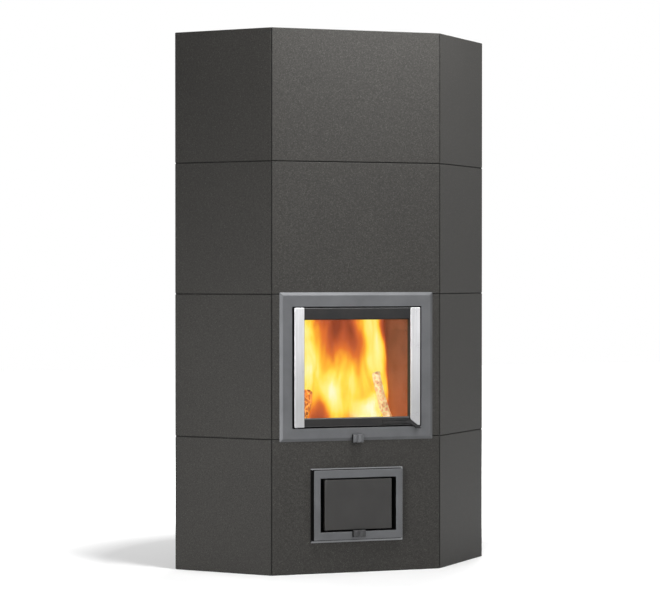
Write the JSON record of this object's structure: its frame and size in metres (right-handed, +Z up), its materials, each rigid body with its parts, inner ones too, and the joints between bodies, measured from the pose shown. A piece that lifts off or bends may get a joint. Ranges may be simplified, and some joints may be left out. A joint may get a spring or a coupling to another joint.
{
  "type": "corner tiled stove",
  "caption": "Five-sided heat-storing corner stove clad in large dark tiles, with a glazed fire door, an ash hatch below it and a top flue collar.",
  "frame": {"origin": "middle of the footprint's bounding box, on the floor", "axes": "+Z up; -Y is the front with the fire door; +Y points to the room's corner"},
  "size_m": [1.1124, 0.8521, 1.835],
  "materials": {
    "tile": "satin",
    "joint_mortar": "matte",
    "concrete": "matte",
    "refractory": "matte",
    "firebrick": "matte",
    "cast_iron": "matte",
    "sheet_steel": "satin",
    "frame_paint": "satin",
    "hatch_enamel": "satin",
    "brushed_strip": "satin",
    "bright_steel": "satin",
    "door_glass": "gloss",
    "seal_rope": "matte"
  },
  "bodies": {
    "stove": {"bottom_front_tile": "tile", "bottom_right_cheek_tile": "tile", "bottom_right_back_tile": "tile", "bottom_left_back_tile": "tile", "bottom_left_cheek_tile": "tile", "firebox_front_tile": "tile", "firebox_right_cheek_tile": "tile", "firebox_right_back_tile": "tile", "firebox_left_back_tile": "tile", "firebox_left_cheek_tile": "tile", "upper_front_tile": "tile", "upper_right_cheek_tile": "tile", "upper_right_back_tile": "tile", "upper_left_back_tile": "tile", "upper_left_cheek_tile": "tile", "top_front_tile": "tile", "top_right_cheek_tile": "tile", "top_right_back_tile": "tile", "top_left_back_tile": "tile", "top_left_cheek_tile": "tile", "left_front_corner_joint": "joint_mortar", "right_front_corner_joint": "joint_mortar", "right_side_corner_joint": "joint_mortar", "rear_corner_joint": "joint_mortar", "left_side_corner_joint": "joint_mortar", "firebox_bed_joint": "joint_mortar", "upper_bed_joint": "joint_mortar", "top_bed_joint": "joint_mortar", "base_block": "concrete", "top_cover": "concrete", "ash_chamber_block": "refractory", "hearth_slab": "refractory", "firebox_core_block": "refractory", "throat_slab": "refractory", "lower_storage_block": "refractory", "baffle_slab": "refractory", "upper_storage_block": "refractory", "core_cap": "refractory", "left_firebrick": "firebrick", "right_firebrick": "firebrick", "rear_firebrick": "firebrick", "grate": "cast_iron", "ember_guard": "cast_iron", "flue_collar": "sheet_steel", "fire_door_frame": "frame_paint", "ash_hatch_frame": "frame_paint", "upper_hinge_pin": "bright_steel", "lower_hinge_pin": "bright_steel", "hatch_hinge_rod": "bright_steel"},
    "fire_door": {"fire_door_leaf": "cast_iron", "left_door_strip": "brushed_strip", "right_door_strip": "brushed_strip", "door_glass": "door_glass", "glass_retainer": "sheet_steel", "door_gasket": "seal_rope"},
    "door_handle": {"door_handle": "cast_iron"},
    "upper_air_slider": {"upper_air_slider": "frame_paint"},
    "ash_hatch": {"ash_hatch": "hatch_enamel"},
    "lower_air_slider": {"lower_air_slider": "frame_paint"},
    "ash_pan": {"ash_pan": "sheet_steel"}
  },
  "joints": [
    {"name": "fire_door_hinge", "type": "hinge", "parent": "stove", "child": "fire_door", "pos_m": [-0.208, -0.39223, 0.68675], "axis": [0, 0, -1], "range_deg": [0, 110]},
    {"name": "door_handle_pull", "type": "hinge", "parent": "fire_door", "child": "door_handle", "pos_m": [0.094, -0.39623, 0.49875], "axis": [0, 0, -1], "range_deg": [0, 25]},
    {"name": "ash_hatch_hinge", "type": "hinge", "parent": "stove", "child": "ash_hatch", "pos_m": [-0.11, -0.40323, 0.229], "axis": [0, 0, -1], "range_deg": [0, 110]},
    {"name": "upper_air_slide", "type": "slide", "parent": "stove", "child": "upper_air_slider", "axis": [1, 0, 0], "range_m": [-0.012, 0.012]},
    {"name": "lower_air_slide", "type": "slide", "parent": "stove", "child": "lower_air_slider", "axis": [1, 0, 0], "range_m": [-0.012, 0.012]},
    {"name": "ash_pan_slide", "type": "slide", "parent": "stove", "child": "ash_pan", "axis": [0, -1, 0], "range_m": [0, 0.048]}
  ]
}
